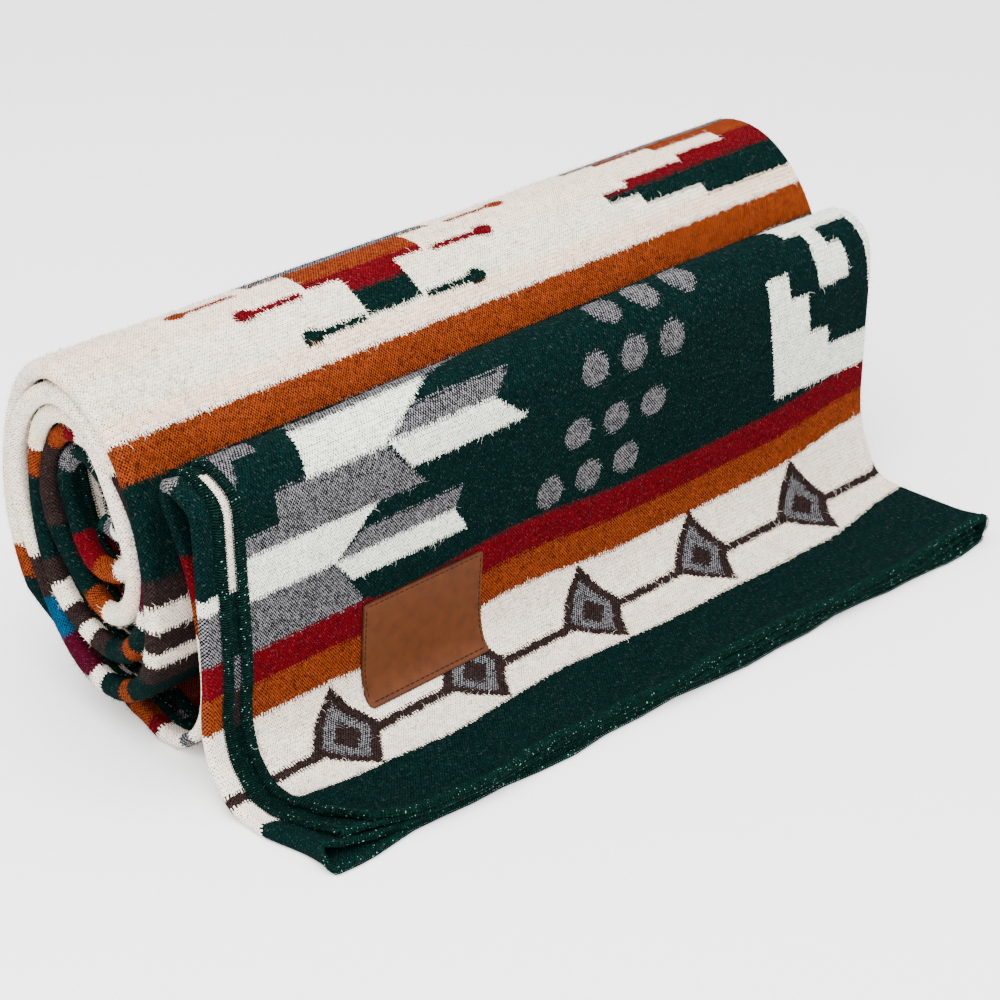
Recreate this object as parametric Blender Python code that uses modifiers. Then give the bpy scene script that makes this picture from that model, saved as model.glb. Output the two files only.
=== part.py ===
# Wool blanket, folded in four across its width and rolled up, its loose end turned
# down over the front of the roll and out along the floor, with a leather patch sewn on.
# Metres, +Z up. The roll lies along X, its loose end points to -Y, the floor is z = 0.

import math

import bmesh
import bpy
import numpy as np

# Cloth: one ply and the four plies of the folded strip
PLY = 0.0018
PLY_PITCH = 0.0023
STRIP = 3 * PLY_PITCH + PLY
FOLD_STEPS = 3

# Loose end: toe on the floor, heel, front leg, and a crest that meets the roll at this turn
TOE_TIP_Y = -0.206
HEEL_Y = -0.136
FRONT_Y = -0.1025
HEEL_RISE = 0.060
TOE_STEPS = 4
HEEL_STEPS = 7
LEG_STEPS = 4
CREST_STEPS = 8
JOIN_TURN = -0.07

# Roll: an oval spiral of the strip's middle line, which shrinks by these pitches each turn
ROLL_TURNS = 5.3
STEPS_PER_TURN = 18
TURN_STEP = 1 / STEPS_PER_TURN
ROLL_Y = -0.0023
HALF_WIDTH = 0.0778
HALF_HEIGHT = 0.1117
CENTRE_Z = 0.1078
WIDTH_PITCH = 0.0110
HEIGHT_PITCH = 0.0172
CENTRE_RISE = 0.0055
LEAN = 0.07

# The first quarter turn sags to a fuller corner at the front, on the floor
SAG_POWER = 0.56

# Ends of the strip at a few places along it: the folded edge at the left, the folded edge
# at the right, counted in turns of the roll, where the loose end is below zero
ENDS = (
    # turn, left x, right x
    (-1.00, -0.266, 0.246),
    (0.00, -0.262, 0.245),
    (0.22, -0.262, 0.243),
    (0.30, -0.252, 0.243),
    (0.42, -0.274, 0.242),
    (0.75, -0.276, 0.241),
    (1.20, -0.277, 0.243),
    (1.75, -0.276, 0.239),
    (2.30, -0.273, 0.242),
    (2.80, -0.275, 0.237),
    (3.30, -0.272, 0.241),
    (4.00, -0.266, 0.236),
    (4.60, -0.268, 0.238),
    (5.30, -0.262, 0.233),
)

# The two cut edges lie this far inside the left fold, and the inner fold inside the right
TOP_EDGE_INSET = 0.021
NEXT_EDGE_INSET = 0.011
INNER_FOLD_INSET = 0.012

# The toe's end runs forward from left to right, and its upper plies are drawn back at the
# left corner, up to this column
TOE_SKEW = 0.020
CORNER_DRAW = 0.018
CORNER_X = -0.190

# Leather patch on the front leg
LABEL_X = -0.127
LABEL_WIDTH = 0.086
LABEL_TOP_Z = 0.0785
LABEL_BOTTOM_Z = 0.0155
LABEL_THICKNESS = 0.0016
CONTACT_GAP = 0.0003
LEG_REACH = 0.040

# Surface looks
CREAM = (0.80, 0.76, 0.68, 1.0)
TAN = (0.26, 0.12, 0.055, 1.0)


def arc(centre_y, centre_z, radius, start_deg, end_deg, steps):
    angles = np.radians(np.linspace(start_deg, end_deg, steps + 1))
    return [(centre_y + radius * math.cos(a), centre_z + radius * math.sin(a)) for a in angles]


# Toe along the floor, heel, front leg and crest, as points of the middle line. The heel is a
# quarter of an ellipse, taller than it is deep. The crest is the arc that leaves the upright
# leg and meets the roll's own slope.
def loose_end_line():
    floor_z = STRIP / 2
    heel_depth = FRONT_Y - HEEL_Y
    join_y, join_z = spiral_point(JOIN_TURN)
    next_y, next_z = spiral_point(JOIN_TURN + TURN_STEP / 100)
    slope = math.atan2(join_y - next_y, join_z - next_z)
    crest_radius = (join_y - FRONT_Y) / (1 + math.cos(slope))
    crest_z = join_z + crest_radius * math.sin(slope)
    points = [(y, floor_z) for y in np.linspace(TOE_TIP_Y, HEEL_Y, TOE_STEPS + 1)]
    for angle in np.radians(np.linspace(-90, 0, HEEL_STEPS + 1))[1:]:
        heel_z = floor_z + HEEL_RISE * (1 + math.sin(angle))
        points.append((HEEL_Y + heel_depth * math.cos(angle), heel_z))
    foot_z = points[-1][1]
    points += [(FRONT_Y, z) for z in np.linspace(foot_z, crest_z, LEG_STEPS + 1)[1:]]
    crest_end = -math.degrees(slope)
    points += arc(FRONT_Y + crest_radius, crest_z, crest_radius, 180, crest_end, CREST_STEPS)[1:-1]
    return points


# Middle line of the roll: turn 0 is the front, then under, up the back and over the top
def spiral_point(turn):
    angle = 2 * math.pi * turn
    half_width = HALF_WIDTH - WIDTH_PITCH * turn
    half_height = HALF_HEIGHT - HEIGHT_PITCH * turn
    power = SAG_POWER if 0 < turn < 0.25 else 1
    rise = -half_height * (math.sin(angle) if power == 1 else math.sin(angle) ** power)
    reach = math.cos(angle) if power == 1 else math.cos(angle) ** power
    y = ROLL_Y - half_width * reach + LEAN * rise
    z = CENTRE_Z + CENTRE_RISE * turn + rise
    return y, max(z, STRIP / 2)


# Stations along the whole strip: turn, middle point and the direction of the top ply
def stations():
    loose = loose_end_line()
    turns = list(np.linspace(-1, JOIN_TURN, len(loose) + 1)[:-1])
    roll_turns = [JOIN_TURN, JOIN_TURN / 2]
    roll_turns += list(np.arange(0, ROLL_TURNS + TURN_STEP / 2, TURN_STEP))
    turns += roll_turns
    line = np.array(loose + [spiral_point(turn) for turn in roll_turns])
    along = np.diff(line, axis=0)
    along /= np.linalg.norm(along, axis=1)[:, None]
    tangent = np.vstack((along[:1], along[:-1] + along[1:], along[-1:]))
    mitre = np.linalg.norm(tangent, axis=1) / 2
    mitre[0] = mitre[-1] = 1
    tangent /= np.linalg.norm(tangent, axis=1)[:, None]
    normal = np.column_stack((-tangent[:, 1], tangent[:, 0])) / mitre[:, None]
    return list(zip(turns, line, normal))


# Middle line of the cloth across the folded strip: top ply, around to the bottom ply,
# back inside it, and out again to the second ply, as (x, height above the strip's middle)
def fold_line(left, right):
    half = PLY_PITCH / 2
    outer_x = right - 3 * half - PLY / 2
    inner_x = right - INNER_FOLD_INSET
    left_x = left + half + PLY / 2
    points = [(left + TOP_EDGE_INSET, 3 * half), (CORNER_X, 3 * half)]
    points += arc(outer_x, 0, 3 * half, 90, -90, FOLD_STEPS)
    points.append((CORNER_X, -3 * half))
    points += arc(left_x, -2 * half, half, -90, -270, FOLD_STEPS)
    points.append((CORNER_X, -half))
    points += arc(inner_x, 0, half, -90, 90, FOLD_STEPS)
    points += [(CORNER_X, half), (left + NEXT_EDGE_INSET, half)]
    return np.array(points)


# Outline of the folded cloth, half a ply to each side of its middle line
def fold_outline(left, right):
    line = fold_line(left, right)
    along = np.diff(line, axis=0)
    along /= np.linalg.norm(along, axis=1)[:, None]
    tangent = np.vstack((along[:1], along[:-1] + along[1:], along[-1:]))
    stretch = 2 / np.linalg.norm(tangent, axis=1)
    stretch[0] = stretch[-1] = 1
    tangent /= np.linalg.norm(tangent, axis=1)[:, None]
    side = np.column_stack((-tangent[:, 1], tangent[:, 0])) * stretch[:, None] * PLY / 2
    return np.vstack((line + side, (line - side)[::-1]))


# How far the toe's end runs forward, by column and ply, fading to the heel
def toe_reach(x, height, y):
    across = (x - ENDS[0][1]) / (ENDS[0][2] - ENDS[0][1]) - 0.5
    column = np.clip((CORNER_X - x) / (CORNER_X - ENDS[0][1]), 0, 1)
    rise = np.clip(0.5 + height / (3 * PLY_PITCH), 0, 1)
    fade = np.clip((HEEL_Y - y) / (HEEL_Y - TOE_TIP_Y), 0, 1)
    return (TOE_SKEW * across - CORNER_DRAW * column * rise) * fade


def blanket_rings():
    table = np.array(ENDS)
    rings = []
    for turn, (y, z), (normal_y, normal_z) in stations():
        left = np.interp(turn, table[:, 0], table[:, 1])
        right = np.interp(turn, table[:, 0], table[:, 2])
        x, height = fold_outline(left, right).T
        reach = toe_reach(x, height, y)
        rings.append(np.column_stack((x, y + height * normal_y - reach, z + height * normal_z)))
    return rings


# Rows of the patch's back face, on the cloth's own stations from the heel to the crest, so
# that it follows the cloth's facets a contact gap away
def label_rows():
    lift = STRIP / 2 + CONTACT_GAP
    rows = []
    for turn, (y, z), (normal_y, normal_z) in stations():
        if y >= HEEL_Y and z <= LABEL_TOP_Z + LEG_REACH and turn < JOIN_TURN:
            rows.append((y + lift * normal_y, z + lift * normal_z))
    rows = np.array(rows)
    heights = [LABEL_BOTTOM_Z]
    heights += [z for z in rows[:, 1] if LABEL_BOTTOM_Z < z < LABEL_TOP_Z]
    heights.append(LABEL_TOP_Z)
    return [(np.interp(z, rows[:, 1], rows[:, 0]), z) for z in heights]


def material(name, colour, roughness):
    mat = bpy.data.materials.new(name)
    mat.use_nodes = True
    shader = mat.node_tree.nodes["Principled BSDF"]
    shader.inputs["Base Color"].default_value = colour
    shader.inputs["Roughness"].default_value = roughness
    shader.inputs["Metallic"].default_value = 0.0
    return mat


def finish_object(name, form, mat, collection):
    mesh = bpy.data.meshes.new(name)
    bmesh.ops.recalc_face_normals(form, faces=form.faces)
    form.to_mesh(mesh)
    form.free()
    obj = bpy.data.objects.new(name, mesh)
    obj.data.materials.append(mat)
    collection.objects.link(obj)
    return obj


# Closed skin through rings of equal length, with a face on each end
def loft(name, rings, mat, collection):
    form = bmesh.new()
    loops = [[form.verts.new(point) for point in ring] for ring in rings]
    count = len(rings[0])
    for ahead, behind in zip(loops[1:], loops[:-1]):
        for i in range(count):
            j = (i + 1) % count
            form.faces.new((behind[i], behind[j], ahead[j], ahead[i]))
    form.faces.new(loops[0])
    form.faces.new(loops[-1])
    return finish_object(name, form, mat, collection)


# Open strip across X through the rows, thickened outward
def patch(name, rows, shift, mat, collection):
    form = bmesh.new()
    half = LABEL_WIDTH / 2
    pairs = []
    for y, z in rows:
        left = form.verts.new((LABEL_X - half, y + shift, z))
        right = form.verts.new((LABEL_X + half, y + shift, z))
        pairs.append((left, right))
    for (left_a, right_a), (left_b, right_b) in zip(pairs[:-1], pairs[1:]):
        form.faces.new((left_a, right_a, right_b, left_b))
    obj = finish_object(name, form, mat, collection)
    solidify = obj.modifiers.new("thickness", "SOLIDIFY")
    solidify.thickness = LABEL_THICKNESS
    solidify.offset = 1.0
    solidify.use_even_offset = True
    return obj


def main():
    for obj in list(bpy.data.objects):
        bpy.data.objects.remove(obj, do_unlink=True)
    collection = bpy.data.collections.new("rolled_wool_blanket")
    bpy.context.scene.collection.children.link(collection)
    wool = material("wool", CREAM, 0.95)
    leather = material("leather", TAN, 0.6)
    rings = blanket_rings()
    every = np.vstack(rings)
    middle = (every.min(axis=0) + every.max(axis=0)) / 2
    shift = np.array((-middle[0], -middle[1], 0.0))
    loft("blanket", [ring + shift for ring in rings], wool, collection)
    label = patch("label", label_rows(), shift[1], leather, collection)
    label.location.x = shift[0]


main()
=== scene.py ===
# Wool blanket, folded in four across its width and rolled up, with its loose end turned down
# over the front and a leather patch sewn on. Metres, +Z up, the roll lies along X.
import math

import bpy
import numpy as np
from mathutils import Matrix, Vector


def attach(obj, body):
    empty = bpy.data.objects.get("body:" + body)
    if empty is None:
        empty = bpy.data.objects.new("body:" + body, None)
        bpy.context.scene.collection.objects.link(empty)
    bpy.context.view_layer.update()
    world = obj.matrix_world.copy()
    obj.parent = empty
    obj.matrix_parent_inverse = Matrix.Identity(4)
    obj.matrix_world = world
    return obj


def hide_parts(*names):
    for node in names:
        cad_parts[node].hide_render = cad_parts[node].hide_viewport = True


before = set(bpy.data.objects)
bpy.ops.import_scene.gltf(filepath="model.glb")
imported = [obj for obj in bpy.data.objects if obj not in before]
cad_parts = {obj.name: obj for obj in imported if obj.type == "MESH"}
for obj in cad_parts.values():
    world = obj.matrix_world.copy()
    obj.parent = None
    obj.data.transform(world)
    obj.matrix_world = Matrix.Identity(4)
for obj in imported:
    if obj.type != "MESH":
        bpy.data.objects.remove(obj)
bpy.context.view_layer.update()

# Set where the photograph was taken from: place, compass angle and downward angle
camera = {
    "place": (-0.8182, -0.8721, 0.7585),
    "turnDeg": 42.418,
    "downDeg": 29.996,
    "lens": 84.77,
}


def makeCamera():
    turn = math.radians(camera["turnDeg"])
    down = math.radians(camera["downDeg"])
    back = Vector((-math.sin(turn) * math.cos(down), -math.cos(turn) * math.cos(down), math.sin(down)))
    right = Vector((math.cos(turn), -math.sin(turn), 0))
    up = back.cross(right)
    data = bpy.data.cameras.new("camera")
    data.lens = camera["lens"]
    data.sensor_width = 36
    data.clip_start = 0.01
    eye = bpy.data.objects.new("camera", data)
    basis = Matrix((right, up, back)).transposed().to_4x4()
    eye.matrix_world = Matrix.Translation(camera["place"]) @ basis
    bpy.context.scene.collection.objects.link(eye)
    bpy.context.scene.camera = eye


makeCamera()
print("camera placed")


class Field:
    # one socket of a node tree; sums and products of fields add their Math nodes
    def __init__(self, tree, socket):
        self.tree = tree
        self.socket = socket

    # kind of node, its settings first, then its sockets' values or links
    def node(self, kind, settings, values, output=0):
        made = self.tree.nodes.new(kind)
        for key, value in settings.items():
            if key == "stops":
                fillRamp(made.color_ramp, value)
            else:
                setattr(made, key, value)
        for key, value in values.items():
            if isinstance(value, Field):
                self.tree.links.new(value.socket, made.inputs[key])
            else:
                made.inputs[key].default_value = value
        return Field(self.tree, made.outputs[output])

    def math(self, operation, *others):
        numbers = dict(enumerate((self, *others)))
        return self.node("ShaderNodeMath", {"operation": operation}, numbers)

    def __add__(self, other):
        return self.math("ADD", other)

    def __sub__(self, other):
        return self.math("SUBTRACT", other)

    def __rsub__(self, other):
        return (self * -1) + other

    def __mul__(self, other):
        return self.math("MULTIPLY", other)

    def __truediv__(self, other):
        return self.math("DIVIDE", other)

    def __mod__(self, other):
        return self.math("FLOORED_MODULO", other)

    def __gt__(self, other):
        return self.math("GREATER_THAN", other)

    def __lt__(self, other):
        return self.math("LESS_THAN", other)

    def __or__(self, other):
        return self.math("MAXIMUM", other)

    def __and__(self, other):
        return self.math("MINIMUM", other)

    def __abs__(self):
        return self.math("ABSOLUTE")

    __radd__ = __add__
    __rmul__ = __mul__

    # 1 where the value lies between low and high
    def within(self, low, high):
        return self.math("COMPARE", (low + high) / 2, (high - low) / 2)

    # rises smoothly from 0 at one value to 1 at another
    def smooth(self, low, high):
        settings = {"interpolation_type": "SMOOTHSTEP"}
        return self.node("ShaderNodeMapRange", settings, {0: self, 1: low, 2: high})

    def ramp(self, stops):
        return self.node("ShaderNodeValToRGB", {"stops": stops}, {0: self})

    # this share of the way from one number to another, or, in blend, from one colour to another
    def pick(self, low, high):
        return self.node("ShaderNodeMix", {"data_type": "FLOAT"}, {0: self, 2: low, 3: high})

    def blend(self, first, second):
        return self.node("ShaderNodeMix", {"data_type": "RGBA"}, {0: self, 6: first, 7: second}, 2)

    # this colour times another
    def tinted(self, tint):
        settings = {"data_type": "RGBA", "blend_type": "MULTIPLY"}
        return self.node("ShaderNodeMix", settings, {0: 1.0, 6: self, 7: tint}, 2)

    # x and y of a vector
    def parts(self):
        x = self.node("ShaderNodeSeparateXYZ", {}, {0: self})
        return x, Field(self.tree, x.socket.node.outputs[1])

    def noise(self, scale, detail=2.0):
        return self.node("ShaderNodeTexNoise", {}, {"Vector": self, "Scale": scale, "Detail": detail})

    # random number of each whole value, or of each pair of them
    def toss(self, other=None):
        if other is None:
            return self.node("ShaderNodeTexWhiteNoise", {"noise_dimensions": "1D"}, {"W": self})
        pair = self.node("ShaderNodeCombineXYZ", {}, {0: self, 1: other})
        return self.node("ShaderNodeTexWhiteNoise", {"noise_dimensions": "2D"}, {"Vector": pair})


# Stops are (place, colour or number) with constant steps between them
def fillRamp(ramp, stops):
    ramp.interpolation = "CONSTANT"
    ramp.elements.remove(ramp.elements[-1])
    for index, (place, colour) in enumerate(stops):
        stop = ramp.elements[0] if index == 0 else ramp.elements.new(place)
        stop.position = place
        stop.color = colour if hasattr(colour, "__len__") else (colour, colour, colour, 1.0)


# sRGB steps of 255 as the linear colour that shaders use
def paint(red, green, blue):
    share = np.array((red, green, blue)) / 255
    linear = np.where(share <= 0.04045, share / 12.92, ((share + 0.055) / 1.055) ** 2.4)
    return (*linear.tolist(), 1.0)


# A new material: the material, a field to start nodes from, and its shader node
def startMaterial(name, fixed):
    mat = bpy.data.materials.new(name)
    mat.use_nodes = True
    shader = mat.node_tree.nodes["Principled BSDF"]
    for key, value in fixed.items():
        shader.inputs[key].default_value = value
    return mat, Field(mat.node_tree, None), shader


def feed(field, shader, socket):
    field.tree.links.new(field.socket, shader.inputs[socket])


# The folded strip: plies, loose end and oval roll as in the solids' source, but topInset and
# nextInset, where the two cut edges lie, follow the photo
strip = {
    "ply": 0.0018,
    "pitch": 0.0023,
    "toeTip": -0.206,
    "heel": -0.136,
    "heelRise": 0.060,
    "front": -0.1025,
    "joinTurn": -0.07,
    "turns": 5.3,
    "rollY": -0.0023,
    "halfWidth": 0.0778,
    "halfHeight": 0.1117,
    "centreZ": 0.1078,
    "widthPitch": 0.0110,
    "heightPitch": 0.0172,
    "centreRise": 0.0055,
    "lean": 0.07,
    "sagPower": 0.56,
    "shift": (0.01563387, 0.07080262),
    "topInset": 0.0235,
    "nextInset": 0.0130,
    "innerInset": 0.012,
    "toeSkew": 0.020,
    "cornerDraw": 0.018,
    "cornerX": -0.190,
    "step": 0.001,      # between points of the fine middle line
    "soften": 11,       # points over which its bends are evened out
}
stripThick = 3 * strip["pitch"] + strip["ply"]

# Turn, left and right end of the strip; from turn 0.22 to 0.75 the right ends follow the photo
stripEnds = np.array((
    (-1.00, -0.266, 0.246), (0.00, -0.262, 0.245), (0.22, -0.262, 0.246), (0.30, -0.252, 0.248),
    (0.42, -0.274, 0.249), (0.75, -0.276, 0.247), (1.20, -0.277, 0.243), (1.75, -0.276, 0.239),
    (2.30, -0.273, 0.242), (2.80, -0.275, 0.237), (3.30, -0.272, 0.241), (4.00, -0.266, 0.236),
    (4.60, -0.268, 0.238), (5.30, -0.262, 0.233),
))
cutEdge = stripEnds[0, 1] + strip["topInset"]    # x of the top ply's cut edge at the toe


# Oval spiral: y = rollY - w C + lean r, z = centre + r, r = -h S, where w and h shrink evenly
# with the turn, S and C are sine and cosine, and in the first quarter their 0.56th power, and
# z never goes below half the strip
def spiral(turn):
    angle = 2 * np.pi * turn
    power = np.where((turn > 0) & (turn < 0.25), strip["sagPower"], 1)
    sine, cosine = (np.sign(wave) * np.abs(wave) ** power for wave in (np.sin(angle), np.cos(angle)))
    width = strip["halfWidth"] - strip["widthPitch"] * turn
    rise = -(strip["halfHeight"] - strip["heightPitch"] * turn) * sine
    y = strip["rollY"] - width * cosine + strip["lean"] * rise
    z = strip["centreZ"] + strip["centreRise"] * turn + rise
    return y, np.maximum(z, stripThick / 2)


# Ellipse arc: y = cy + a cos t, z = cz + b sin t, from one angle to another
def arc(centre, radii, startDeg, endDeg, count=60):
    angle = np.radians(np.linspace(startDeg, endDeg, count))
    return np.column_stack((centre[0] + radii[0] * np.cos(angle), centre[1] + radii[1] * np.sin(angle)))


# Moving average with a rounded window; the ends are carried on in a straight line first
def evened(values):
    reach = strip["soften"]
    window = np.hanning(2 * reach + 3)[1:-1]
    before = values[0] - (values[1] - values[0]) * np.arange(reach, 0, -1)
    after = values[-1] + (values[-1] - values[-2]) * np.arange(1, reach + 1)
    padded = np.concatenate((before, values, after))
    return np.convolve(padded, window / window.sum(), mode="valid")


# Middle line: straight toe, heel, upright leg, crest arc that meets the roll's own slope,
# then the spiral; resampled evenly and evened out. Gives distance, turn, y and z
def middleLine():
    low = stripThick / 2
    joinY, joinZ = spiral(strip["joinTurn"])
    nextY, nextZ = spiral(strip["joinTurn"] + 0.0005)
    slope = math.atan2(joinY - nextY, joinZ - nextZ)
    crestRadius = (joinY - strip["front"]) / (1 + math.cos(slope))
    crestCentre = (strip["front"] + crestRadius, joinZ + crestRadius * math.sin(slope))
    toe = np.array(((strip["toeTip"], low), (strip["heel"], low)))
    heelRadii = (strip["front"] - strip["heel"], strip["heelRise"])
    heel = arc((strip["heel"], low + strip["heelRise"]), heelRadii, -90, 0)
    crest = arc(crestCentre, (crestRadius, crestRadius), 180, -math.degrees(slope))
    loose = np.vstack((toe, heel[1:], crest[:-1]))
    rollTurns = np.linspace(strip["joinTurn"], strip["turns"], 3000)
    line = np.vstack((loose, np.column_stack(spiral(rollTurns))))
    looseTurns = np.linspace(-1, strip["joinTurn"], len(loose) + 1)[:-1]
    turns = np.concatenate((looseTurns, rollTurns))
    gaps = np.linalg.norm(np.diff(line, axis=0), axis=1)
    along = np.concatenate(((0,), np.cumsum(gaps)))
    even = np.arange(0, along[-1], strip["step"])
    y, z = (evened(np.interp(even, along, line[:, k])) for k in (0, 1))
    return even, np.interp(even, along, turns), y, z


routeV, routeTurn, routeY, routeZ = middleLine()
clothLength = routeV[-1]
print("middle line", round(float(clothLength), 3), "m")


# Middle line at distances v along it: turn, y, z and the unit normal on the top ply's side
def route(v):
    turn, y, z = (np.interp(v, routeV, part) for part in (routeTurn, routeY, routeZ))
    slopeY, slopeZ = (np.interp(v, routeV, np.gradient(part, routeV)) for part in (routeY, routeZ))
    size = np.hypot(slopeY, slopeZ)
    return turn, y, z, -slopeZ / size, slopeY / size


# 3 s^2 - 2 s^3 of a share held between 0 and 1
def ease(share):
    share = np.clip(share, 0, 1)
    return share * share * (3 - 2 * share)


# exp(-(d / spread)^2): 1 at a place, fading to both sides of it
def bell(distance, spread):
    return np.exp(-((distance / spread) ** 2))


cloth = {
    "top": 38,            # columns across the top ply
    "bottom": 30,
    "hidden": 14,         # and across the two plies inside
    "plyWidths": (0.487, 0.490),
    "edgeColumns": (0, 0.0012, 0.0024, 0.0038, 0.0055),
    "tip": (0, 0.00025, 0.0009, 0.002, 0.0035, 0.0055),    # stations at each end
    "margins": (0.009, 0.008),                             # where the even steps start and end
    "steps": ((0.34, 0.0050), (0.90, 0.0064), (1.70, 0.0085), (9.0, 0.0068)),    # up to, step
    "looseFold": (0.0024, 0.016),    # radius of the left fold, and the length over which it closes
    "rollFold": (0.0043, 0.012),
    "lowFold": 0.0017,    # how much larger that radius is under the roll
    "highFold": 0.0003,
    "slack": 0.0004,      # how far the third ply lifts in the fold before those above it do
    "follow": 0.6,        # share of that lift on the top ply
    "outset": 0.0020,     # how far the rounder folds stick out further
    "toeDraw": 0.0035,    # how far the toe's right end draws in, and over which length
    "toeRun": 0.06,
    "crestDraw": 0.0070,  # how far the crest's right end draws in
    "crestLift": 0.0052,  # how far the crest rides up over the roll
    "legLeft": 0.0085,    # how much further left the upright leg's fold hangs
    "crestRun": (0.21, 0.09, 0.335, 0.07),     # lift: its start and ramp up, end and ramp down
    "crestPull": (0.22, 0.08, 0.36, 0.06),
    "legRun": (0.015, 0.05, 0.25, 0.13),
    "foldU": 0.4965,      # distance across the cloth from its first cut edge to the outer fold
    "hem": (0.0011, 0.0021, 0.0016),    # extra half thickness, its place in from the edge, spread
    "endRound": 0.0011,   # length over which the loose end and the wound end round off
    "heelLeft": 0.009,    # how far the heel draws in at the left, and bulges at the right
    "heelRight": -0.002,
    "heelRun": (0.103, 0.026),          # where along the strip, and spread
    "wave": 0.0011,
    "toeWave": 0.0030,
    "toeSpread": 0.045,
    "fan": 0.0009,        # how much further apart the plies' hems lie at the toe's end
    "floorHem": 0.0010,   # lift of the hems off the floor
    "fanSpread": 0.012,
    "frontWave": 0.0018,
    "corner": 0.0065,     # lift of the top ply at the toe's right corner
    "cornerSpread": 0.034,
    "curl": (0.0035, 0.020, 0.034, 0.030),     # height, spread across, then place and spread along
    "cornerRound": (0.010, 0.018, 0.022),      # pull at the left corner, spread across, length
}


def spacing(count):
    return 0.5 - 0.5 * np.cos(np.pi * np.linspace(0, 1, count))


# Shares from 0 to 1 with close columns by the cut edge of a ply of this width
def edged(count, width):
    close = np.array(cloth["edgeColumns"]) / width
    return np.concatenate((close, close[-1] + (1 - close[-1]) * spacing(count + 1)[1:]))


# Radius and closing length of the left fold: slim on the loose end, full on the roll and
# fuller where it hangs under it
def leftFold(turn):
    share = ease((turn - 0.08) / 0.27)
    sine = np.sin(2 * np.pi * turn)
    looseRadius, looseClose = cloth["looseFold"]
    rollRadius, rollClose = cloth["rollFold"]
    full = rollRadius + cloth["lowFold"] * np.maximum(sine, 0) + cloth["highFold"] * np.maximum(-sine, 0)
    full = full + 0.0003 * np.sin(15 * turn + 0.7)
    puff = looseRadius * (1 - share) + full * share
    close = looseClose * (1 - share) + rollClose * share
    return puff, close, share


# Mid-surface section of the cloth in columns: top ply from its cut edge at the left, outer
# fold at the right, bottom ply, left fold, third ply, inner fold, second ply to its cut edge.
# Each is x and height above the strip's middle, worked out for all stations at once
def foldedSection(left, right, puff, close):
    half = strip["pitch"] / 2
    outerX = right - 3 * half - strip["ply"] / 2
    innerX = right - strip["innerInset"]
    leftX = left + puff + strip["ply"] / 2

    def lift(x):
        return (2 * puff - 2 * half) * (1 - ease((x - leftX) / close))

    topWidth, secondWidth = cloth["plyWidths"]
    top, second = edged(cloth["top"], topWidth), edged(cloth["hidden"], secondWidth)[::-1]
    bottom, third = spacing(cloth["bottom"]), spacing(cloth["hidden"])
    bend = np.linspace(0, np.pi, 12)
    flat = np.zeros_like(left)
    x1 = (left + strip["topInset"]) * (1 - top) + outerX * top
    x2 = outerX + 3 * half * np.sin(bend)
    x3 = outerX * (1 - bottom) + leftX * bottom
    x4 = leftX - puff * np.sin(bend)
    x5 = leftX * (1 - third) + innerX * third
    x6 = innerX + half * np.sin(bend[::2])
    x7 = (left + strip["nextInset"]) * (1 - second) + innerX * second
    h1 = 3 * half + cloth["follow"] * np.maximum(lift(x1) - cloth["slack"], 0)
    h2 = flat + 3 * half * np.cos(bend)
    h3 = flat - 3 * half + 0 * bottom
    h4 = -3 * half + puff - puff * np.cos(bend)
    h5 = -half + lift(x5)
    h6 = flat - half * np.cos(bend[::2])
    h7 = half + np.maximum(lift(x7) - cloth["slack"], 0)
    x = np.hstack((x1, x2[:, 1:-1], x3, x4[:, 1:-1], x5, x6[:, 1:-1], x7))
    height = np.hstack((h1, h2[:, 1:-1], h3, h4[:, 1:-1], h5, h6[:, 1:-1], h7))
    return x, height, len(top) + 5


# Patch on the front leg and its sewing; its foot ends a little higher than the solid's
leather = {
    "x": -0.127,
    "width": 0.086,
    "topZ": 0.0785,
    "bottomZ": 0.0172,
    "lean": 0.055,          # how far its foot leans left, per metre of height
    "thick": 0.0016,
    "gap": 0.0003,
    "search": (0.07, 0.24, 400),            # from and to along the strip, and in how many steps
    "corner": 0.0020,
    "insets": (0, 0.00012, 0.0003, 0.0006, 0.0012, 0.0015, 0.0018, 0.0021, 0.0024, 0.0032),
    "edgeRound": (0.0005, 0.0006),          # how far the rim drops, over which distance
    "groove": (0.0018, 0.0003, 0.00022),    # in from the edge, spread, depth
    "stitch": (0.0036, 0.0026, 0.00030),    # from stitch to stitch, length, half width
    "tan": paint(82, 42, 17),
    "dark": paint(50, 24, 10),
    "thread": paint(30, 14, 8),
    "threadLight": paint(44, 24, 14),
}


# Slow unevenness of a rolled cloth, along its normal: crossing sine waves, small where wound
# and next to none under the patch
def unevenness(x, v, turn, z):
    slow = np.sin(21 * x + 9 * v + 0.4) * np.sin(17 * v - 8 * x + 1.1)
    quick = np.sin(47 * x - 31 * v + 2.0) * np.sin(39 * v + 13 * x)
    size = 1 - 0.55 * ease((turn + 0.05) / 0.3) - 0.35 * ease((turn - 0.95) / 0.1)
    nearX = ease(1.6 - np.abs(x - leather["x"]) / leather["width"])
    nearZ = ease((0.115 - z) / 0.03) * (turn < 0)
    return cloth["wave"] * (slow + 0.4 * quick) * size * (1 - nearX * nearZ)


# 1 on a stretch of the strip: it rises over a ramp from its start, and falls over one from its end
def onStretch(v, run):
    start, rampUp, end, rampDown = run
    return ease((v - start) / rampUp) * (1 - ease((v - end) / rampDown))


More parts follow.
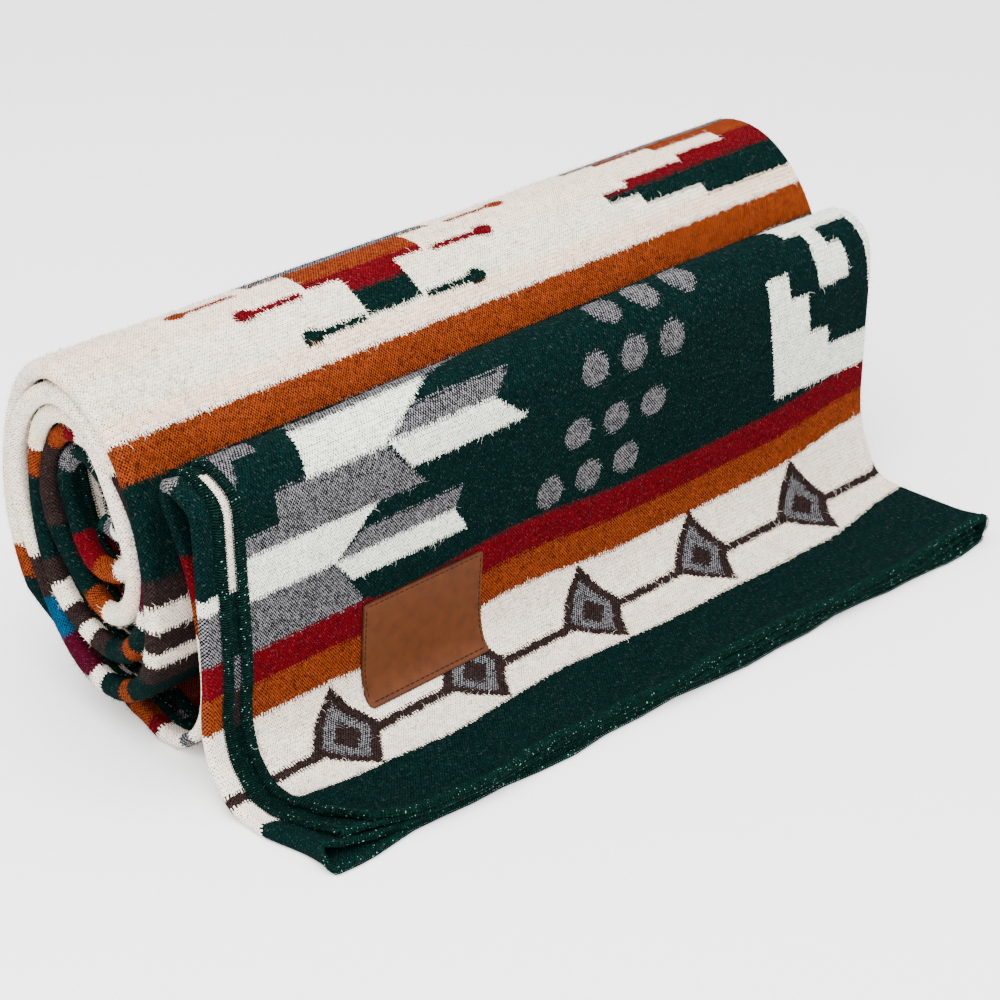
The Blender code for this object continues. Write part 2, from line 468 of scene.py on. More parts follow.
# Height above the middle line with what the toe adds: ripples, plies fanned out at its end, hems
# off the floor, the right corner lifted and a small curl at the left; stack is 0 at the bottom
# ply and 1 at the top ply
def looseHeight(v, x, height, stack, toe, onFloor):
    ripple = 0.5 + 0.5 * np.sin(34 * x + 1.0) * np.cos(13 * x)
    height = height + stack * toe * cloth["toeWave"] * ripple
    fan = bell(v, cloth["fanSpread"]) * onFloor
    height = height + fan * (cloth["fan"] * 3 * stack + cloth["floorHem"])
    corner = bell(stripEnds[0, 2] - x, cloth["cornerSpread"]) * toe
    size, across, place, along = cloth["curl"]
    curl = bell(x - cutEdge, across) * (0.5 - 0.5 * np.cos(v / 0.0052)) * bell(v - place, along)
    return height + stack ** 2 * (corner * cloth["corner"] + curl * size * onFloor)


# How far forward the toe reaches: more to the right, less for the upper plies at the left
# corner, with a wavy front
def toeReach(x, y, across, stack, toe):
    column = ease((strip["cornerX"] - x) / (strip["cornerX"] - stripEnds[0, 1]))
    fade = np.clip((strip["heel"] - y) / (strip["heel"] - strip["toeTip"]), 0, 1)
    reach = (strip["toeSkew"] * (across - 0.5) - strip["cornerDraw"] * column * stack) * fade
    front = np.sin(41 * x + 2.2 * stack) + 0.6 * np.sin(97 * x + 4 * stack)
    return reach + toe * cloth["frontWave"] * front


# Where points of the strip lie: off the middle line along its normal, then the toe's reach, the
# heel drawn in and the crest lifted; x and height have a row for each station
def placed(v, x, height):
    v = v[:, None]
    turn, y, z, ny, nz = route(v)
    offFloor = ease((z - stripThick / 2) / 0.02)
    height = height + unevenness(x, v, turn, z) * offFloor
    stack = np.clip(height / (3 * strip["pitch"]) + 0.5, 0, 1)
    toe = bell(v, cloth["toeSpread"]) * (turn < 0)
    height = looseHeight(v, x, height, stack, toe, turn < -0.5)
    pull, across, length = cloth["cornerRound"]
    x = x + pull * bell(x - cutEdge, across) * stack ** 2 * (1 - ease(v / length))
    across = (x - stripEnds[0, 1]) / (stripEnds[0, 2] - stripEnds[0, 1])
    reach = toeReach(x, y, across, stack, toe)
    place, spread = cloth["heelRun"]
    tuck = cloth["heelLeft"] + (cloth["heelRight"] - cloth["heelLeft"]) * across
    tuck = tuck * bell(v - place, spread) * offFloor
    outY = y + height * ny - reach + 0.8 * tuck
    outZ = z + height * nz
    outZ = np.maximum(outZ - 0.6 * tuck, np.minimum(strip["ply"] / 2, outZ))
    outZ = outZ + cloth["crestLift"] * onStretch(v, cloth["crestRun"])
    points = np.stack((x, outY, outZ), axis=-1)
    return points + np.array((*strip["shift"], 0))


# Points of the mid-surface for stations v: (station, column, xyz), and u across the cloth. The
# upright leg hangs further left, and the toe and the crest draw in at the right
def midSurface(v):
    turn = route(v)[0][:, None]
    puff, close, full = leftFold(turn)
    left = np.interp(turn, stripEnds[:, 0], stripEnds[:, 1]) - cloth["outset"] * full
    right = np.interp(turn, stripEnds[:, 0], stripEnds[:, 2])
    left = left + 0.0015 * np.sin(9.7 * turn + 1.3) + 0.0010 * np.sin(23.1 * turn)
    along = v[:, None]
    left = left - cloth["legLeft"] * onStretch(along, cloth["legRun"])
    right = right - cloth["toeDraw"] * (1 - ease(along / cloth["toeRun"]))
    right = right - cloth["crestDraw"] * onStretch(along, cloth["crestPull"])
    x, height, anchor = foldedSection(left, right, puff, close)
    points = placed(v, x, height)
    gaps = np.linalg.norm(np.diff(points, axis=1), axis=2)
    across = np.concatenate((np.zeros_like(gaps[:, :1]), np.cumsum(gaps, axis=1)), axis=1)
    return points, across - across[:, anchor:anchor + 1] + cloth["foldU"]


# Unit normals of a grid of points, across its two directions
def gridNormals(points):
    normal = np.cross(np.gradient(points, axis=1), np.gradient(points, axis=0))
    return normal / np.maximum(np.linalg.norm(normal, axis=2, keepdims=True), 1e-12)


# A mesh object from points and faces, with a UV map and numbers for each point
def meshPiece(name, points, faces, mat, uv=None, numbers=None):
    mesh = bpy.data.meshes.new(name)
    mesh.from_pydata(points.reshape(-1, 3).tolist(), [], faces)
    mesh.polygons.foreach_set("use_smooth", np.ones(len(mesh.polygons), dtype=bool))
    if uv is not None:
        corner = np.empty(len(mesh.loops), dtype=np.int32)
        mesh.loops.foreach_get("vertex_index", corner)
        layer = mesh.uv_layers.new(name="cloth")
        layer.uv.foreach_set("vector", uv.reshape(-1, 2)[corner].astype(np.float32).ravel())
    for key, values in (numbers or {}).items():
        mesh.attributes.new(key, "FLOAT", "POINT")
        mesh.attributes[key].data.foreach_set("value", values.astype(np.float32).ravel())
    mesh.materials.append(mat)
    mesh.update()
    piece = bpy.data.objects.new(name, mesh)
    bpy.context.scene.collection.objects.link(piece)
    return piece


# Stations along the strip: close together where it shows and where it bends
def stationPlaces():
    tip = np.array(cloth["tip"])
    spans = [tip]
    start, margin = cloth["margins"]
    for end, step in cloth["steps"]:
        stop = min(end, clothLength - margin)
        spans.append(np.linspace(start, stop, round((stop - start) / step), endpoint=False))
        start = stop
    return np.concatenate((*spans, clothLength - tip[::-1]))


# Half thickness of the cloth: ply / 2, with a swelling near each edge that is largest at the
# hem's place, and the ends rounded off
def halfThickness(v, u):
    swell, place, spread = cloth["hem"]
    fromSides = np.minimum(u - u[:, :1], u[:, -1:] - u)
    fromEnd = np.minimum(v, v[-1] - v)[:, None]
    bulge = bell(fromSides - place, spread) + 0.5 * bell(fromEnd - place, spread)
    full = np.sqrt(1 - (1 - np.clip(fromEnd / cloth["endRound"], 0.04, 1)) ** 2)
    return full * (strip["ply"] / 2 + swell * np.minimum(bulge, 1))


# Both sides of the cloth, half a thickness off its mid-surface, joined by round rims
def makeCloth(mat):
    rows, columns = clothU.shape
    thick = clothHalf[:, :, None]
    front = clothMid + clothNormal * thick
    back = clothMid - clothNormal * thick
    rims = []
    for edge, inner in ((-1, -2), (0, 1)):
        outward = clothMid[:, edge] - clothMid[:, inner]
        outward /= np.linalg.norm(outward, axis=1, keepdims=True)
        angle = np.radians((45, 0, -45) if edge else (-45, 0, 45))[None, :, None]
        turned = np.sin(angle) * clothNormal[:, edge, None] + np.cos(angle) * outward[:, None]
        rims.append(clothMid[:, edge, None] + thick[:, edge, None] * turned)
    loop = np.concatenate((front, rims[0], back[:, ::-1], rims[1]), axis=1)
    rim = np.array((0.2, 0.5, 0.8))
    side = np.concatenate((np.zeros(columns), rim, np.ones(columns), 1 - rim))
    side = np.broadcast_to(side, (rows, len(side)))
    ends = (np.repeat(clothU[:, -1:], 3, 1), np.repeat(clothU[:, :1], 3, 1))
    loopU = np.concatenate((clothU, ends[0], clothU[:, ::-1], ends[1]), axis=1)
    uv = np.stack((loopU, np.broadcast_to(clothV[:, None], loopU.shape)), axis=-1)
    count = loop.shape[1]
    first = np.arange(rows - 1)[:, None] * count
    here, there = np.arange(count), np.roll(np.arange(count), -1)
    walls = np.stack((first + here, first + here + count, first + there + count, first + there), axis=-1)
    faces = walls.reshape(-1, 4).tolist()
    faces += endCap(columns, 0, flip=False)
    faces += endCap(columns, (rows - 1) * count, flip=True)
    inset = np.minimum(clothU - clothU[:, :1], clothU[:, -1:] - clothU) * 1000
    rimInset = np.zeros((rows, 3))
    inset = np.concatenate((inset, rimInset, inset[:, ::-1], rimInset), axis=1)
    return meshPiece("blanket_cloth", loop, faces, mat, uv, {"side": side, "inset": inset})


# Faces that close one end of the loop: pairs of columns, then the two rims
def endCap(columns, start, flip):
    k = np.arange(columns - 1)
    low = 2 * columns + 2
    quads = np.stack((k, k + 1, low - k - 1, low - k), axis=-1)
    faces = quads.tolist()
    faces.append([columns - 1, columns, columns + 2, columns + 3])
    faces.append([columns, columns + 1, columns + 2])
    faces.append([0, low, low + 1, low + 3])
    faces.append([low + 1, low + 2, low + 3])
    faces = [[start + index for index in face] for face in faces]
    return [face[::-1] for face in faces] if flip else faces


# Each yarn: colour on top, colour that shows between its threads, how much it covers, and
# the yarn on the cloth's other side
yarns = {
    "cream": (paint(232, 219, 203), paint(104, 90, 70), 0.56, "green"),
    "white": (paint(225, 227, 212), paint(76, 84, 74), 0.52, "green"),
    "grey": (paint(122, 121, 124), paint(6, 6, 8), 0.02, "green"),
    "green": (paint(2, 24, 22), paint(1, 6, 6), 0.32, "cream"),
    "orange": (paint(122, 49, 14), paint(24, 9, 5), 0.24, "brown"),
    "red": (paint(86, 4, 12), paint(24, 2, 6), 0.36, "grey"),
    "brown": (paint(40, 29, 27), paint(12, 8, 8), 0.22, "cream"),
    "blue": (paint(2, 60, 88), paint(0, 20, 38), 0.40, "orange"),
    "maroon": (paint(58, 4, 22), paint(20, 2, 11), 0.40, "cream"),
    "hem": (paint(1, 20, 17), paint(0, 6, 6), 0.45, "hem"),
    "rim": (paint(1, 32, 27), paint(0, 10, 9), 0.30, "rim"),
}
yarnNumber = {name: index + 1 for index, name in enumerate(yarns)}
yarnSlots = 16    # a yarn's number is carried through ramps as a share of this

# Stripes by distance along the cloth in mm, up to the middle of the pattern
stripes = (
    (0, "green"), (60, "cream"), (125, "orange"), (143.5, "red"), (163, "green"), (330, "red"),
    (354, "orange"), (373, "cream"), (444, "grey"), (457, "cream"), (474, "red"), (486, "orange"),
    (506, "brown"), (561, "green"), (606, "orange"), (625, "cream"), (840.6, "orange"),
    (861, "green"), (911, "brown"), (928, "cream"), (941, "brown"), (956, "cream"),
    (968, "brown"), (981, "green"), (1008, "orange"), (1020, "green"), (1036, "cream"),
    (1050, "maroon"), (1079, "blue"), (1102, "brown"), (1130, "cream"),
)
pattern = {
    "lead": 2.2,        # mm of the chart before the cloth's end
    "middle": 1232.6,   # mm along, where the stripes turn back
    "width": 985,       # mm across, one repeat, mirrored about its middle
    "stepLean": -0.16,
    "reach": 1300,      # mm, length of the stripes' ramp
    "redBand": (155, 164, 85),      # from and to along, and up to here in the repeat
    "plain": (204, 250),            # no feathers there along where the cloth turns in the left fold
    "foldAt": 800,                  # mm across, where that turn starts
}

# Feathers: yarn, from and to along, then left edge and right edge at both (mm across)
feathers = (
    ("grey", 164, 195, -9, -9, 81, 62),
    ("white", 195, 220, -9, -9, 62, 92),
    ("grey", 220, 231, -9, -9, 126, 116),
    ("grey", 231, 248, 28, 28, 116, 101),
    ("white", 248, 271, 49, 56, 101, 149),
    ("grey", 271, 286, 60, 60, 151, 200),
    ("grey", 249, 260, 101, 129, 179, 197),
    ("white", 232, 249, 117, 103, 202, 179),
    ("grey", 195, 208, 62, 82, 146, 153),
    ("white", 180, 195, 74, 62, 155, 146),
    ("grey", 250, 268, -9, -9, 5, 17),
    ("grey", 268, 286, -9, -9, 33, 38),
)

# Steps at the right: from and to along, left and right (mm across, at 168 along)
steps = (
    (169, 192, 410, 600), (192, 206, 410, 460), (206, 233, 410, 444), (233, 249, 410, 429),
    (234, 255, 455, 482), (255, 266, 458, 471), (266, 284, 446, 600), (192, 266, 500, 600),
)

# Rows of dots: place along and first centre; then the arrowheads' row
dots = {
    "rows": ((177, 218.5), (207, 240), (241.5, 254), (268.5, 279)),
    "gap": 30.3,
    "half": (10.2, 9.2),
}
arrows = {
    "first": 52, "gap": 92, "axis": 88.5, "up": 33, "down": 26, "line": (82.2, 89),
    "half": 23.5,              # half length of a head at its axis
    "taper": (27.5, 19.5),     # how far its tail and its tip draw in at full height
    "skew": (5, 3),            # how much less they do so below the axis
    "rim": 7.4,
    "diamond": (9.5, 10),
}

# On the roll's top: stepped block and three knobbed bars each side, and a stepped tongue at
# the right, all in the colours that the stripes beneath have; mirrored about two lines
roll = {
    "middle": 732.6, "blockAt": 162.5, "reach": 128,
    "weft": ((0, "blue"), (34, "grey"), (43.5, "orange"), (61, "red"), (78, "green"), (99, "orange")),
    "block": ((0, 30, 92), (30, 45, 66), (45, 67, 42), (67, 95, 19.5)),
    "bars": ((47, 115, 76), (68.5, 86, 47), (95, 59, 22)),
    "tongue": ((36, 43, 338), (43, 48, 361), (48, 55, 405), (55, 65, 454), (65, 70, 411),
               (70, 75, 360), (75, 83, 339), (83, 91, 363), (91, 98.5, 410)),
    "tint": ((0, paint(255, 255, 255)), (43, paint(255, 246, 243)), (73, paint(245, 253, 248)),
             (98, paint(255, 243, 228)), (108, paint(255, 255, 255))),
}


# How much nearer the loose end the bands lie at a place in the repeat: 7.5 mm, and less about
# 190 mm and at both ends
def bandSag(place):
    dip = abs(place - 190).smooth(90, 0) * -6
    return dip + place.smooth(400, 490) * -10 + place.smooth(110, 60) * -4 + 7.5


# Yarn number at a place on the cloth, in mm across and along, and the tint over it: each shape
# is painted over those before it
def patternYarn(across, along):
    mirrored = pattern["middle"] - abs(along - pattern["middle"])
    folded = (across % pattern["width"]) - pattern["width"] / 2
    place = pattern["width"] / 2 - abs(folded)
    stops = [(start / pattern["reach"], yarnNumber[name] / yarnSlots) for start, name in stripes]
    bowed = mirrored + bandSag(place) * mirrored.smooth(30, 55) * mirrored.smooth(200, 175)
    yarn = (bowed / pattern["reach"]).ramp(stops) * yarnSlots
    low, high, end = pattern["redBand"]
    yarn = (mirrored.within(low, high) * (place < end)).pick(yarn, yarnNumber["red"])

    for name, low, high, leftLow, leftHigh, rightLow, rightHigh in feathers:
        leftSlope = (leftHigh - leftLow) / (high - low)
        rightSlope = (rightHigh - rightLow) / (high - low)
        inside = mirrored.within(low, high)
        if leftLow > 0:
            inside = inside * ((place - mirrored * leftSlope) > (leftLow - low * leftSlope))
        inside = inside * ((place - mirrored * rightSlope) < (rightLow - low * rightSlope))
        yarn = inside.pick(yarn, yarnNumber[name])
    plain = (across > pattern["foldAt"]) * mirrored.within(*pattern["plain"])
    yarn = plain.pick(yarn, yarnNumber["green"])

    upright = place - (mirrored - 168) * pattern["stepLean"]
    for low, high, left, right in steps:
        yarn = (upright.within(left, right) * mirrored.within(low, high)).pick(yarn, yarnNumber["white"])

    for height, first in dots["rows"]:
        inRow = place.within(first - dots["gap"] / 2, first + 2.5 * dots["gap"])
        offset = ((place - (first - dots["gap"] / 2)) % dots["gap"]) - dots["gap"] / 2
        yarn = (ellipse(offset, mirrored - height, *dots["half"]) * inRow).pick(yarn, yarnNumber["grey"])
    yarn = arrowRow(yarn, place, mirrored, across < pattern["foldAt"])
    return rollMotifs(yarn, place, mirrored)


# 1 inside (x / a)^2 + (y / b)^2 = 1
def ellipse(x, y, halfX, halfY):
    x, y = x / halfX, y / halfY
    return (x * x + y * y) < 1


# Kite-shaped heads on a line, woven where shown is 1: a kite narrows with the height above or
# below its axis, its rim is brown, and the inside is grey with a brown diamond
def arrowRow(yarn, place, along, shown):
    first, gap = arrows["first"], arrows["gap"]
    x = ((place - (first - gap / 2)) % gap) - gap / 2
    above = along - arrows["axis"]
    share = (above / arrows["up"]) | (above / -arrows["down"])
    below = (above / -arrows["down"]) | 0
    left = x + arrows["half"] - share * arrows["taper"][0] + below * arrows["skew"][0]
    right = arrows["half"] - x - share * arrows["taper"][1] + below * arrows["skew"][1]
    depth = left & right
    inBand = along.within(50, 124) * shown
    yarn = along.within(*arrows["line"]).pick(yarn, yarnNumber["brown"])
    yarn = ((depth > 0) * inBand).pick(yarn, yarnNumber["brown"])
    yarn = ((depth > arrows["rim"]) * inBand).pick(yarn, yarnNumber["grey"])
    halfX, halfY = arrows["diamond"]
    diamond = abs(x - 1) / halfX + abs(above) / halfY
    return ((diamond < 1) * inBand).pick(yarn, yarnNumber["brown"])


# The roll's motifs over a yarn, and the faint tint that the weft gives there
def rollMotifs(yarn, place, along):
    level = abs(along - roll["middle"])
    share = level / roll["reach"]
    stops = [(start / roll["reach"], yarnNumber[name] / yarnSlots) for start, name in roll["weft"]]
    weft = share.ramp(stops) * yarnSlots
    x = abs(place - roll["blockAt"])
    mask = level.within(0, 18) * (place > 48)
    for low, high, half in roll["block"]:
        mask = mask | (level.within(low, high) * (x < half))
    for height, knob, end in roll["bars"]:
        mask = mask | (level.within(height - 2.3, height + 2.3) * x.within(end, knob))
        mask = mask | ellipse(x - knob, level - height, 7, 5)
    for low, high, left in roll["tongue"]:
        mask = mask | (level.within(low, high) * (place > left))
    yarn = (mask * (level < 107)).pick(yarn, weft)
    tint = share.ramp([(start / roll["reach"], colour) for start, colour in roll["tint"]])
    return yarn, tint


wool = {
    "thread": (0.86, 1.12),     # mm, from thread to thread across and along
    "comb": 1.7,                # mm, how far neighbouring threads' ends differ
    "fray": 1.1,
    "hem": 4.6,                 # mm, width of the overlocked hems
    "wideHem": (1300, 120, 7),  # from here across and up to here along it is this much wider
    "rim": 5.5,                 # mm, the hem at the cloth's two ends
    "dash": (1.9, 2.4),         # mm, from dash to dash across and along, in brickwork
    "fixed": {"Roughness": 0.95, "Specular IOR Level": 0.02},
    "fuzz": paint(150, 156, 152),
}


# Woven wool: pattern by yarn number, threads as an uneven chequer, flecks of fuzz over it
def woolMaterial(name):
    mat, start, shader = startMaterial(name, wool["fixed"])
    across, along = start.node("ShaderNodeUVMap", {"uv_map": "cloth"}, {}).parts()
    across, along = across * 1000, along * 1000
    side = start.node("ShaderNodeAttribute", {"attribute_name": "side"}, {}, 2)
    flat = start.node("ShaderNodeCombineXYZ", {}, {0: across, 1: along})
    pitchU, pitchV = wool["thread"]
    thread, row = (across / pitchU).math("FLOOR"), (along / pitchV).math("FLOOR")
    fray = (flat.noise(0.55, 1.0) - 0.5) * wool["fray"]
    comb = ((thread % 2) - 0.5) * wool["comb"] + (thread.toss() - 0.5) * 1.4 + fray
    combRow = ((row % 2) - 0.5) * 0.7 + ((row + 0.5).toss() - 0.5) * 0.8 + fray
    yarn, tint = patternYarn(across + combRow, along + comb + pattern["lead"])
    places = [(index - 0.5) / yarnSlots for index in yarnNumber.values()]
    others = [yarnNumber[looks[3]] / yarnSlots for looks in yarns.values()]
    number = yarn / yarnSlots
    # the other side is plain green up to the first stripe
    reverse = number.ramp([(0, 1 / yarnSlots), *zip(places, others)])
    reverse = (along < stripes[1][0]).pick(reverse, yarnNumber["green"] / yarnSlots)
    number = (side > 0.5).pick(number, reverse)
    inset = start.node("ShaderNodeAttribute", {"attribute_name": "inset"}, {}, 2)
    fromAcross, toAlong, extra = wool["wideHem"]
    wider = (across > fromAcross) * (along < toAlong) * extra
    inHem = (inset - wider + fray * 0.5) < wool["hem"]
    number = inHem.pick(number, yarnNumber["hem"] / yarnSlots)
    inRim = (along < wool["rim"]) | (along > clothLength * 1000 - wool["rim"])
    number = inRim.pick(number, yarnNumber["rim"] / yarnSlots)
    starts = [0, *places[1:]]
    face, under, cover = (
        number.ramp([(begin, looks[part]) for begin, looks in zip(starts, yarns.values())])
        for part in (0, 1, 2)
    )
    # sin(pi u) sin(pi v) is above zero on every other crossing
    warp = (flat.noise(0.9) - 0.5) * 0.9
    waveU, waveV = ((across + warp) / pitchU * math.pi), ((along + warp) / pitchV * math.pi)
    chequer = waveU.math("SINE") * waveV.math("SINE")
    show = (chequer + cover * 1.6 - 0.25 + (thread.toss(row) - 0.5) * 0.7).smooth(-0.35, 0.45)
    colour = show.blend(under, face)
    dashU, dashV = across / wool["dash"][0], along / wool["dash"][1]
    dash = (dashV % 1).within(0.36, 0.64) * (((dashU + dashV.math("FLOOR") * 0.5) % 1) < 0.62)
    colour = (dash * cover.smooth(0.45, 0.5) * 0.42).blend(colour, under)
    colour = colour.tinted(tint)
    slanted = start.node("ShaderNodeCombineXYZ", {}, {0: across + along * 0.4, 1: along * 0.35})
    streak = slanted.noise(1.3, 3.0)
    fleck = streak.smooth(0.58, 0.76) * 0.10
    colour = fleck.blend(colour, wool["fuzz"])
    tone = (flat.noise(0.11, 4.0) - 0.5) * 0.45 + (streak - 0.5) * 0.6 + 1.0
    grey = start.node("ShaderNodeCombineColor", {}, {0: tone, 1: tone, 2: tone})
    feed(colour.tinted(grey), shader, "Base Color")
    relief = chequer * 0.5 + streak * 0.9
    bump = start.node("ShaderNodeBump", {}, {"Height": relief, "Distance": 0.0003, "Strength": 0.7})
    feed(bump, shader, "Normal")
    return mat


clothV = stationPlaces()
clothMid, clothU = midSurface(clothV)
clothNormal = gridNormals(clothMid)
clothHalf = halfThickness(clothV, clothU)
woolMat = woolMaterial("brushed wool")
print("wool", len(woolMat.node_tree.nodes), "nodes")
clothPiece = makeCloth(woolMat)
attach(clothPiece, "root")
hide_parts("blanket")
print("cloth", len(clothPiece.data.polygons), "faces")

sewing = {
    "pitch": 0.0015,      # between whip stitches
    "depth": 0.0042,      # how far they reach in
    "slant": 0.0010,
    "radius": 0.00033,
    "segments": 6,
    "sides": 3,
    "dark": paint(1, 12, 10),
    "light": paint(3, 38, 32),
    "glint": paint(120, 165, 155),
}


# Curves resampled at even distances along the first of them
def alongCurve(curves, pitch):
    gaps = np.linalg.norm(np.diff(curves[0], axis=0), axis=1)
    distance = np.concatenate(((0,), np.cumsum(gaps)))
    even = np.arange(pitch / 2, distance[-1], pitch)

    def resampled(curve):
        return np.stack([np.interp(even, distance, values) for values in curve.T], -1)

    return [resampled(curve) for curve in curves]


# Whip stitches over an edge: each is half a loop from inside the back, around the edge, to
# inside the front. It reaches in by depth |sin t|^1.6, less the half thickness times cos t, and
# its height follows sin t up to the cloth's faces
def stitchLoops(edge, inward, normal, half):
    t = np.linspace(-np.pi / 2, np.pi / 2, sewing["segments"] + 1)
    reach = sewing["depth"] * np.abs(np.sin(t)) ** 1.6 - half.mean() * np.cos(t) - sewing["radius"] * 0.5
    rise = np.sign(np.sin(t)) * np.minimum(np.abs(np.sin(t)) * 2.2, 1)
    ahead = np.gradient(edge, axis=0)
    ahead /= np.linalg.norm(ahead, axis=1, keepdims=True)
    lift = half + sewing["radius"] * 0.4
    centre = edge[:, None] + reach[None, :, None] * inward[:, None]
    centre = centre + (rise[None, :, None] * lift[:, None, None]) * normal[:, None]
    return centre + (np.sin(t)[None, :, None] * sewing["slant"]) * ahead[:, None], ahead


# Round threads along many short lines: a ring of sides about each point of each line
def threads(lines, ahead, radius, sides):
    along = np.gradient(lines, axis=1)
    along /= np.linalg.norm(along, axis=2, keepdims=True)
    first = np.broadcast_to(ahead[:, None], lines.shape)
    second = np.cross(along, first)
    second /= np.maximum(np.linalg.norm(second, axis=2, keepdims=True), 1e-9)
    first = np.cross(second, along)
    angle = np.linspace(0, 2 * np.pi, sides, endpoint=False)
    ring = np.cos(angle)[:, None] * first[:, :, None] + np.sin(angle)[:, None] * second[:, :, None]
    points = lines[:, :, None] + radius * ring
    count, rows = lines.shape[:2]
    start = (np.arange(count)[:, None, None] * rows + np.arange(rows - 1)[None, :, None]) * sides
    here, there = np.arange(sides), np.roll(np.arange(sides), -1)
    faces = np.stack((start + here, start + there, start + there + sides, start + here + sides), -1)
    return points, faces.reshape(-1, 4)


# Dark green thread with paler spots and a few bright glints
def hemThreadMaterial():
    mat, start, shader = startMaterial("hem thread", {"Roughness": 0.8, "Specular IOR Level": 0.06})
    spot = start.node("ShaderNodeTexCoord", {}, {}, 3)
    tone = spot.noise(420.0, 2.0).smooth(0.3, 0.75)
    glint = spot.noise(900.0, 0.0).smooth(0.74, 0.80)
    colour = glint.blend(tone.blend(sewing["dark"], sewing["light"]), sewing["glint"])
    feed(colour, shader, "Base Color")
    return mat


# Stitches along both cut edges and the loose end; the thickness is read a little way in
def makeStitches(mat):
    edges = []
    for column, hem, inner in ((0, 2, 4), (-1, -3, -5)):
        inward = clothMid[:, inner] - clothMid[:, column]
        edges.append((clothMid[:, column], inward, clothNormal[:, column], clothHalf[:, hem]))
    edges.append((clothMid[0], clothMid[5] - clothMid[0], clothNormal[0], clothHalf[3]))
    allPoints, allFaces, start = [], [], 0
    for edge, inward, normal, half in edges:
        inward = inward / np.linalg.norm(inward, axis=1, keepdims=True)
        half = half[:, None]
        edge, inward, normal, half = alongCurve((edge, inward, normal, half), sewing["pitch"])
        lines, ahead = stitchLoops(edge, inward, normal, half[:, 0])
        points, faces = threads(lines, ahead, sewing["radius"], sewing["sides"])
        allPoints.append(points.reshape(-1, 3))
        allFaces.append(faces + start)
        start += len(allPoints[-1])
    return meshPiece("hem_stitches", np.vstack(allPoints), np.vstack(allFaces).tolist(), mat)


stitches = makeStitches(hemThreadMaterial())
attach(stitches, "root")
print("stitches", len(stitches.data.polygons), "faces")


# Distance in from the patch's rounded edge, at x and z from its middle
def fromPatchEdge(x, z, width, height):
    corner = leather["corner"]
    outX, outZ = np.abs(x) - (width / 2 - corner), np.abs(z) - (height / 2 - corner)
    outside = np.hypot(np.maximum(outX, 0), np.maximum(outZ, 0))
    return corner - outside - np.minimum(np.maximum(outX, outZ), 0)


# Points at a height off the flap, at x and z of the patch (rows go down it)
def onFlap(x, z, height):
    lift = stripThick / 2 + leather["gap"]
    dense = np.linspace(*leather["search"])
    column = np.ones((len(dense), 1))
    surface = placed(dense, column * leather["x"], column * lift)
    v = np.interp(z, surface[:, 0, 2], dense)
    x = x - leather["lean"] * (leather["topZ"] - z[:, None])
    return placed(v, x, lift + height)


# Places from 0 to a length: at the insets from both its ends, and evenly between them
def closeAtEnds(length, count):
    insets = np.array(leather["insets"])
    even = np.linspace(insets[-1], length - insets[-1], count)[1:-1]
    return np.concatenate((insets, even, (length - insets)[::-1]))


# Faces of the patch: front, back, and the walls between them along its border
def patchFaces(rows, columns):
    total = rows * columns
    r, c = np.arange(rows - 1)[:, None] * columns, np.arange(columns - 1)[None, :]
    face = np.stack((r + c, r + c + 1, r + c + columns + 1, r + c + columns), -1).reshape(-1, 4)
    top, left = np.arange(columns), np.arange(rows) * columns
    bottom, right = top + (rows - 1) * columns, left + columns - 1
    border = np.concatenate((top, right[1:], bottom[::-1][1:], left[::-1][1:-1]))
    ahead = np.roll(border, -1)
    walls = np.stack((border, border + total, ahead + total, ahead), -1)
    return np.vstack((face, (face + total)[:, ::-1], walls)).tolist()


# Patch on the flap: its rim rounds off, and the groove is pressed in by its depth
def makePatch(mat):
    width, height = leather["width"], leather["topZ"] - leather["bottomZ"]
    z = closeAtEnds(height, 26) - height / 2
    share = closeAtEnds(width, 32) / width
    corner = leather["corner"]
    over = np.clip(np.abs(z) - (height / 2 - corner), 0, corner)
    half = width / 2 - corner + np.sqrt(corner ** 2 - over ** 2)
    x = (2 * share[None, :] - 1) * half[:, None]
    depth = fromPatchEdge(x, z[:, None], width, height)
    place, spread, deep = leather["groove"]
    drop, run = leather["edgeRound"]
    shape = leather["thick"] - drop * (1 - np.sqrt(1 - (1 - np.clip(depth / run, 0, 1)) ** 2))
    shape = shape - deep * bell(depth - place, spread)
    middleZ = (leather["topZ"] + leather["bottomZ"]) / 2
    front = onFlap(x + leather["x"], z + middleZ, shape)
    back = onFlap(x + leather["x"], z + middleZ, np.zeros_like(shape))
    uv = np.stack((x, np.broadcast_to(z[:, None], x.shape)), -1)
    points = np.concatenate((front, back))
    uv, rim = np.concatenate((uv, uv)), np.concatenate((depth, depth))
    patch = meshPiece("leather_patch", points, patchFaces(*x.shape), mat, uv, {"rim": rim})
    return patch, middleZ, height


